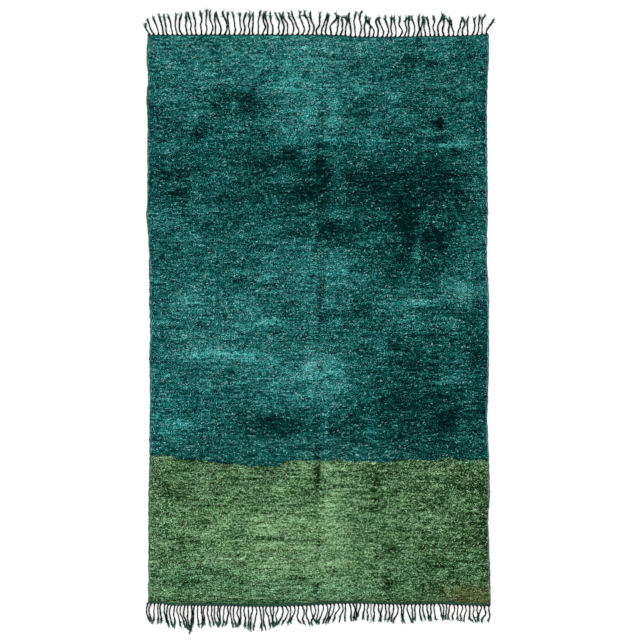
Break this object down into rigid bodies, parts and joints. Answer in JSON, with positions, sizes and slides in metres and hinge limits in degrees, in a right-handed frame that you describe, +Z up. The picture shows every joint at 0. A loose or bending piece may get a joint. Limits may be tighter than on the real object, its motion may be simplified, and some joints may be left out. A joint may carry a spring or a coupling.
{
  "type": "beni mguild rug",
  "caption": "Flat hand-knotted wool pile rug with teal and green fields, dark wrapped side edges, flat-woven end bands and twisted warp fringes.",
  "frame": {"origin": "middle of the rug's footprint, fringes included, on the floor under its flat underside", "axes": "+X across the rug, +Y along its length towards the teal end, +Z up out of the pile"},
  "size_m": [1.845, 3.2926, 0.0214],
  "materials": {
    "pile_wool": "matt hand-spun wool pile, deep teal over three quarters of the length and moss green below, with lighter specks and uneven dye",
    "edge_wool": "dark teal wool wrapped round the side warps",
    "warp_wool": "dark green-black flat-woven end bands and twisted warp ends"
  },
  "bodies": {
    "root": {"pile_field": "pile_wool", "selvedge_left": "edge_wool", "selvedge_right": "edge_wool", "end_fringe_top": "warp_wool", "end_fringe_bottom": "warp_wool"}
  },
  "joints": []
}
